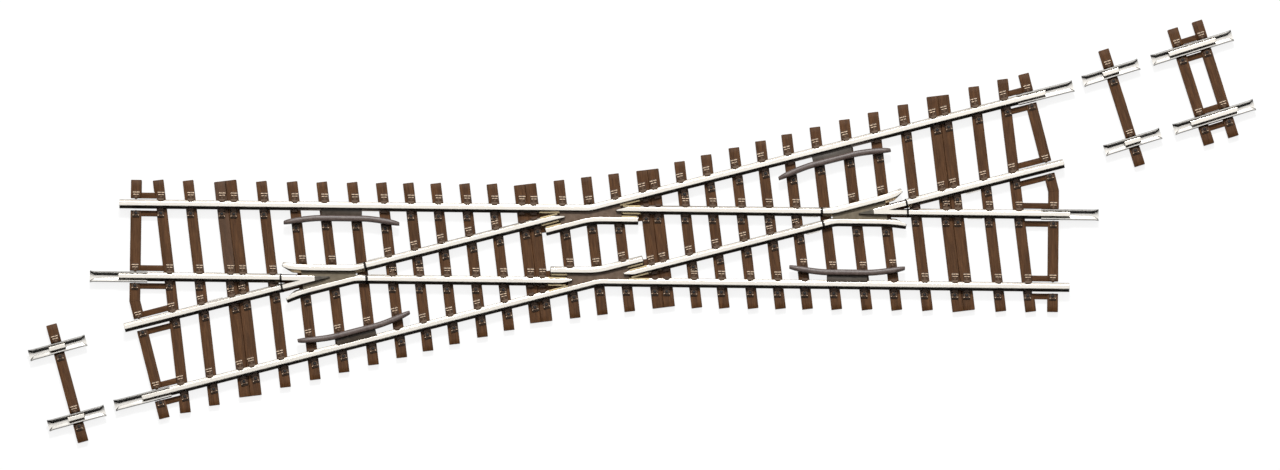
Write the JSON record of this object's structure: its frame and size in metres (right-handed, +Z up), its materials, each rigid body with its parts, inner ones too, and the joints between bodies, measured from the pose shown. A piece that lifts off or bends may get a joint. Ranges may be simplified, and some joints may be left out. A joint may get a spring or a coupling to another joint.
{
  "type": "model railway diamond crossing",
  "caption": "Fixed model railway diamond crossing on brown plastic sleepers, with cast frogs, guard rails, sliding rail joiners and loose make-up track pieces.",
  "frame": {"origin": "middle of the crossing, on the underside of the middle sleeper", "axes": "+X along the straight track to the east, +Y to the north side, +Z up; the diagonal track runs 15 degrees anticlockwise from +X"},
  "size_m": [0.2965, 0.106, 0.0041],
  "materials": {
    "brown_plastic": "moulded with fine wood grain, satin",
    "guard_plastic": "moulded, satin, a little lighter and greyer than the sleepers",
    "nickel_silver": "bright drawn nickel silver",
    "cast_metal": "cast, olive-beige, ground bright on the running tops"
  },
  "bodies": {
    "crossing": {"check_rail_north": "nickel_silver", "check_rail_south": "nickel_silver", "closure_rail_diagonal_east": "nickel_silver", "closure_rail_diagonal_west": "nickel_silver", "closure_rail_straight_east": "nickel_silver", "closure_rail_straight_west": "nickel_silver", "feed_strip_diagonal_east": "nickel_silver", "feed_strip_diagonal_west": "nickel_silver", "feed_strip_straight_east": "nickel_silver", "feed_strip_straight_west": "nickel_silver", "frog_east": "cast_metal", "frog_west": "cast_metal", "guard_rail_diagonal_east": "guard_plastic", "guard_rail_diagonal_west": "guard_plastic", "guard_rail_straight_east": "guard_plastic", "guard_rail_straight_west": "guard_plastic", "k_floor_north": "brown_plastic", "k_floor_south": "brown_plastic", "knee_rail_north": "nickel_silver", "knee_rail_south": "nickel_silver", "lead_rail_diagonal_east": "nickel_silver", "lead_rail_diagonal_west": "nickel_silver", "lead_rail_straight_east": "nickel_silver", "lead_rail_straight_west": "nickel_silver", "sleeper_moulding": "brown_plastic"},
    "east_double": {"east_double_joiner_north": "nickel_silver", "east_double_joiner_south": "nickel_silver", "east_double_rail_north": "nickel_silver", "east_double_rail_south": "nickel_silver", "east_double_sleepers": "brown_plastic"},
    "east_single": {"east_single_joiner_north": "nickel_silver", "east_single_joiner_south": "nickel_silver", "east_single_rail_north": "nickel_silver", "east_single_rail_south": "nickel_silver", "east_single_sleepers": "brown_plastic"},
    "joiner_diagonal_east": {"joiner_diagonal_east": "nickel_silver"},
    "joiner_diagonal_west": {"joiner_diagonal_west": "nickel_silver"},
    "joiner_straight_east": {"joiner_straight_east": "nickel_silver"},
    "joiner_straight_west": {"joiner_straight_west": "nickel_silver"},
    "west_single": {"west_single_joiner_north": "nickel_silver", "west_single_joiner_south": "nickel_silver", "west_single_rail_north": "nickel_silver", "west_single_rail_south": "nickel_silver", "west_single_sleepers": "brown_plastic"}
  },
  "joints": [
    {"name": "joiner_straight_west_slide", "type": "slide", "parent": "crossing", "child": "joiner_straight_west", "axis": [-1, 0, 0], "range_m": [-0.0018, 0.0023]},
    {"name": "joiner_diagonal_west_slide", "type": "slide", "parent": "crossing", "child": "joiner_diagonal_west", "axis": [-0.9659, -0.2588, 0], "range_m": [-0.0018, 0.0023]},
    {"name": "joiner_straight_east_slide", "type": "slide", "parent": "crossing", "child": "joiner_straight_east", "axis": [1, 0, 0], "range_m": [-0.0018, 0.0023]},
    {"name": "joiner_diagonal_east_slide", "type": "slide", "parent": "crossing", "child": "joiner_diagonal_east", "axis": [0.9659, 0.2588, 0], "range_m": [-0.0018, 0.0023]},
    {"name": "west_single_slide", "type": "slide", "parent": "crossing", "child": "west_single", "axis": [-0.9659, -0.2588, 0], "range_m": [0, 0.03]},
    {"name": "east_single_slide", "type": "slide", "parent": "crossing", "child": "east_single", "axis": [0.9659, 0.2588, 0], "range_m": [0, 0.0028]},
    {"name": "east_double_slide", "type": "slide", "parent": "crossing", "child": "east_double", "axis": [0.9659, 0.2588, 0], "range_m": [0, 0.03]}
  ]
}
